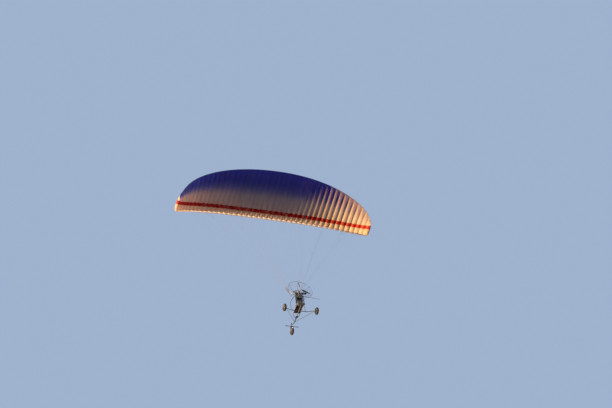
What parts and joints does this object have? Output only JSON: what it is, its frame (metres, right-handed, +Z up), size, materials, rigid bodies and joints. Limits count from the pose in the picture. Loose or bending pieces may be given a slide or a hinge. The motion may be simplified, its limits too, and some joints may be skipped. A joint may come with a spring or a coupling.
{
  "type": "powered paraglider trike",
  "caption": "Powered paraglider: an arched cellular canopy holds a wheeled seat frame with engine, propeller and round guard on lines and risers.",
  "frame": {"origin": "top of the canopy at mid-span, where the air holds it", "axes": "+X to the aircraft's right, +Y forward, +Z up"},
  "size_m": [11.192, 3.6323, 9.7996],
  "materials": {
    "aluminium": "satin",
    "black_plastic": "matte",
    "blade": "gloss",
    "brake_line": "satin",
    "cast": "matte",
    "cloth_blue": "satin",
    "cloth_cream": "satin",
    "cloth_red": "satin",
    "frame_black": "satin",
    "hoop": "satin",
    "line": "satin",
    "padding": "matte",
    "steel": "polished",
    "tank": "satin",
    "tyre": "matte",
    "webbing": "matte"
  },
  "bodies": {
    "trike": {"air_box": "black_plastic", "back_cushion": "padding", "cage_hoop": "hoop", "cage_spokes": "hoop", "crankcase": "cast", "cylinder": "aluminium", "engine_plate": "aluminium", "fuel_tank": "tank", "hang_arm_left": "frame_black", "hang_arm_right": "frame_black", "main_frame": "frame_black", "rear_leg_left": "frame_black", "rear_leg_right": "frame_black", "reduction_drive": "cast", "seat_cushion": "padding", "seat_pan": "black_plastic", "side_boom_right": "frame_black", "side_rail_left": "frame_black", "side_rail_right": "frame_black", "silencer": "cast", "tank_tray": "frame_black"},
    "wing": {"brake_handle_left": "cloth_red", "brake_handle_right": "cloth_red", "brake_lines_left": "brake_line", "brake_lines_right": "brake_line", "canopy_lower_skin": "cloth_cream", "canopy_upper_skin": "cloth_blue", "carabiner_left": "steel", "carabiner_right": "steel", "lines_a_left": "line", "lines_a_right": "line", "lines_b_left": "line", "lines_b_right": "line", "lines_c_left": "line", "lines_c_right": "line", "riser_left": "webbing", "riser_right": "webbing", "stabiliser_left": "cloth_blue", "stabiliser_right": "cloth_blue"},
    "steering": {"foot_bar": "frame_black", "front_fork": "frame_black"},
    "front_wheel": {"front_wheel_rim": "aluminium", "front_wheel_tyre": "tyre"},
    "propeller": {"propeller": "blade"},
    "rear_wheel_left": {"rear_wheel_left_rim": "aluminium", "rear_wheel_left_tyre": "tyre"},
    "rear_wheel_right": {"rear_wheel_right_rim": "aluminium", "rear_wheel_right_tyre": "tyre"}
  },
  "joints": [
    {"name": "trike_pitch", "type": "hinge", "parent": "wing", "child": "trike", "pos_m": [0, 0.03373, -8.3676], "axis": [1, 0, 0], "range_deg": [-20, 20]},
    {"name": "propeller_spin", "type": "hinge", "parent": "trike", "child": "propeller", "pos_m": [0, -0.62277, -8.6176], "axis": [0, 1, 0], "continuous": true},
    {"name": "steering_turn", "type": "hinge", "parent": "trike", "child": "steering", "pos_m": [0, 1.33723, -9.3126], "axis": [0, -0.342, 0.9397], "range_deg": [-30, 30]},
    {"name": "front_wheel_roll", "type": "hinge", "parent": "steering", "child": "front_wheel", "pos_m": [0, 1.42723, -9.5676], "axis": [1, 0, 0], "continuous": true},
    {"name": "rear_wheel_left_roll", "type": "hinge", "parent": "trike", "child": "rear_wheel_left", "pos_m": [-0.89, -0.09777, -9.5676], "axis": [1, 0, 0], "continuous": true},
    {"name": "rear_wheel_right_roll", "type": "hinge", "parent": "trike", "child": "rear_wheel_right", "pos_m": [0.89, -0.09777, -9.5676], "axis": [1, 0, 0], "continuous": true}
  ]
}
